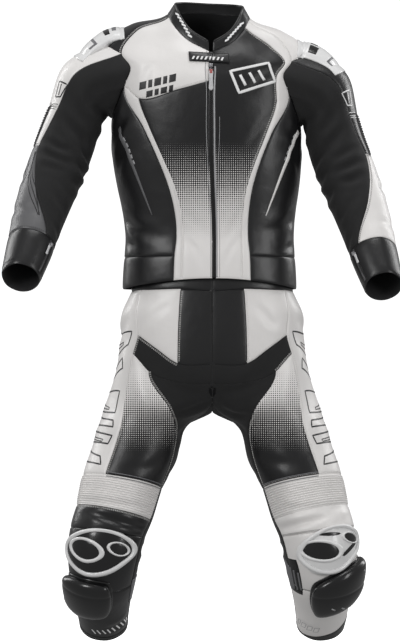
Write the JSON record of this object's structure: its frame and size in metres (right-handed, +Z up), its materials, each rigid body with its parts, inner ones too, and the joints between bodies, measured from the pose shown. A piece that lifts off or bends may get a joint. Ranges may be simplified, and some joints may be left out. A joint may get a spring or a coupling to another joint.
{
  "type": "motorcycle race suit",
  "caption": "Two-piece leather motorcycle race suit, zipped jacket and armoured trousers, in the hollow form it has when worn",
  "frame": {"origin": "base of the neck at shoulder level, where the wearer holds the suit up", "axes": "+Z up, -Y the suit's front, +X the wearer's left"},
  "size_m": [0.8662, 0.3324, 1.4078],
  "materials": {
    "leather_black": "semi-gloss black cowhide with a fine grain",
    "leather_grey": "semi-gloss grey cowhide",
    "leather_white": "semi-gloss white cowhide with a fine grain",
    "metal_grey": "plated zip metal",
    "plastic_black": "moulded black",
    "plastic_white": "moulded white shell",
    "rubber_grey": "soft moulded rubber",
    "stretch_black": "matte ribbed stretch weave"
  },
  "bodies": {
    "suit": {"back_panel": "leather_black", "calf_left": "stretch_black", "calf_right": "stretch_black", "collar": "leather_black", "collar_tab": "leather_black", "crotch_left": "stretch_black", "crotch_right": "stretch_black", "cuff_left": "leather_black", "cuff_right": "leather_black", "cuff_zip_left": "metal_grey", "cuff_zip_right": "metal_grey", "elbow_ribs_left": "leather_black", "elbow_ribs_right": "leather_black", "fly_panel": "leather_black", "forearm_left": "leather_white", "forearm_right": "leather_grey", "front_panel_left": "leather_black", "front_panel_right": "leather_black", "front_stripe_left": "leather_white", "front_stripe_right": "leather_white", "front_yoke_right": "leather_white", "front_zip": "leather_black", "hem_band": "leather_black", "hip_left": "leather_white", "hip_right": "leather_white", "knee_cup_left": "leather_white", "knee_cup_right": "leather_black", "knee_fold_left": "leather_white", "knee_fold_right": "leather_black", "knee_frame_left": "plastic_white", "knee_frame_right": "plastic_white", "knee_ribs_left": "leather_white", "knee_ribs_right": "leather_white", "knee_slider_left": "plastic_black", "knee_slider_right": "plastic_black", "leg_side_left": "leather_white", "leg_side_right": "leather_white", "saddle_left": "leather_white", "saddle_right": "leather_black", "seat_left": "leather_black", "seat_right": "leather_black", "shin_left": "leather_white", "shin_right": "leather_black", "shoulder_cap_left": "plastic_white", "shoulder_cap_right": "plastic_white", "side_left": "leather_black", "side_right": "leather_black", "sleeve_outer_left": "leather_black", "sleeve_outer_right": "leather_black", "sleeve_stretch_left": "stretch_black", "sleeve_stretch_right": "stretch_black", "spear_left": "leather_white", "spear_right": "leather_grey", "thigh_front_left": "leather_black", "thigh_front_right": "leather_black", "waistband": "leather_black", "zip_slider": "metal_grey"},
    "zip_pull": {"zip_pull": "rubber_grey"},
    "cuff_pull_left": {"cuff_pull_left": "rubber_grey"},
    "cuff_pull_right": {"cuff_pull_right": "rubber_grey"}
  },
  "joints": [
    {"name": "front_pull_hinge", "type": "hinge", "parent": "suit", "child": "zip_pull", "pos_m": [0.003, -0.1265, -0.109], "axis": [-1, 0, 0], "range_deg": [0, 120]},
    {"name": "left_cuff_pull_hinge", "type": "hinge", "parent": "suit", "child": "cuff_pull_left", "pos_m": [0.31207, -0.15974, -0.51024], "axis": [-0.7174, 0.4586, -0.5244], "range_deg": [0, 100]},
    {"name": "right_cuff_pull_hinge", "type": "hinge", "parent": "suit", "child": "cuff_pull_right", "pos_m": [-0.34407, -0.15974, -0.49138], "axis": [-0.7174, -0.4586, 0.5244], "range_deg": [0, 100]}
  ]
}
